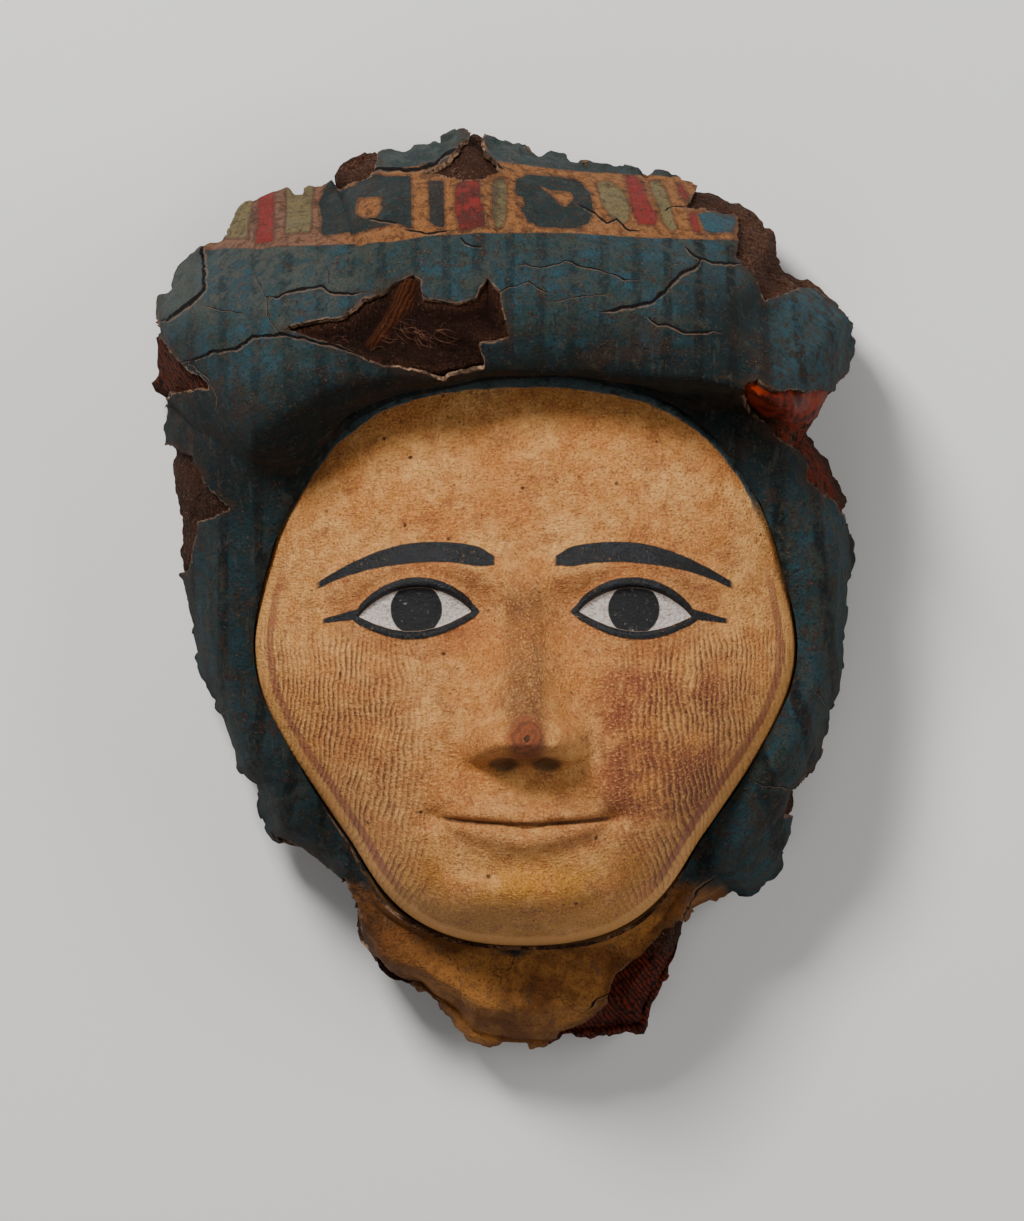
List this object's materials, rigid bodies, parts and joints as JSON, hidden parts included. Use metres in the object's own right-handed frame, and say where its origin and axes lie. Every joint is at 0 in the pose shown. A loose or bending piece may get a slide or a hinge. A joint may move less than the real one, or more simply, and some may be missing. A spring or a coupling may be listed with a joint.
{
  "type": "mummy mask",
  "caption": "Egyptian mummy mask: a carved and painted wooden face set in a broken headdress of stiffened linen and painted plaster, hollow behind.",
  "frame": {"origin": "under the middle of the mask, on the plane that its rear rim lies on", "axes": "+X to the viewer's right, +Y to the crown, +Z out of the face"},
  "size_m": [0.2132, 0.2808, 0.1081],
  "materials": {
    "painted_wood": "worn yellow-ochre paint over raised grain, with dark eye lines and brows",
    "stiffened_linen": "coarse brown linen stiffened with mud and glue, frayed at the breaks",
    "painted_plaster": "matt painted plaster, blue-grey hair with dark stripes and a coloured band, pale where broken"
  },
  "bodies": {
    "root": {"wooden_face": "painted_wood", "linen_backing": "stiffened_linen", "painted_plaster": "painted_plaster"}
  },
  "joints": []
}
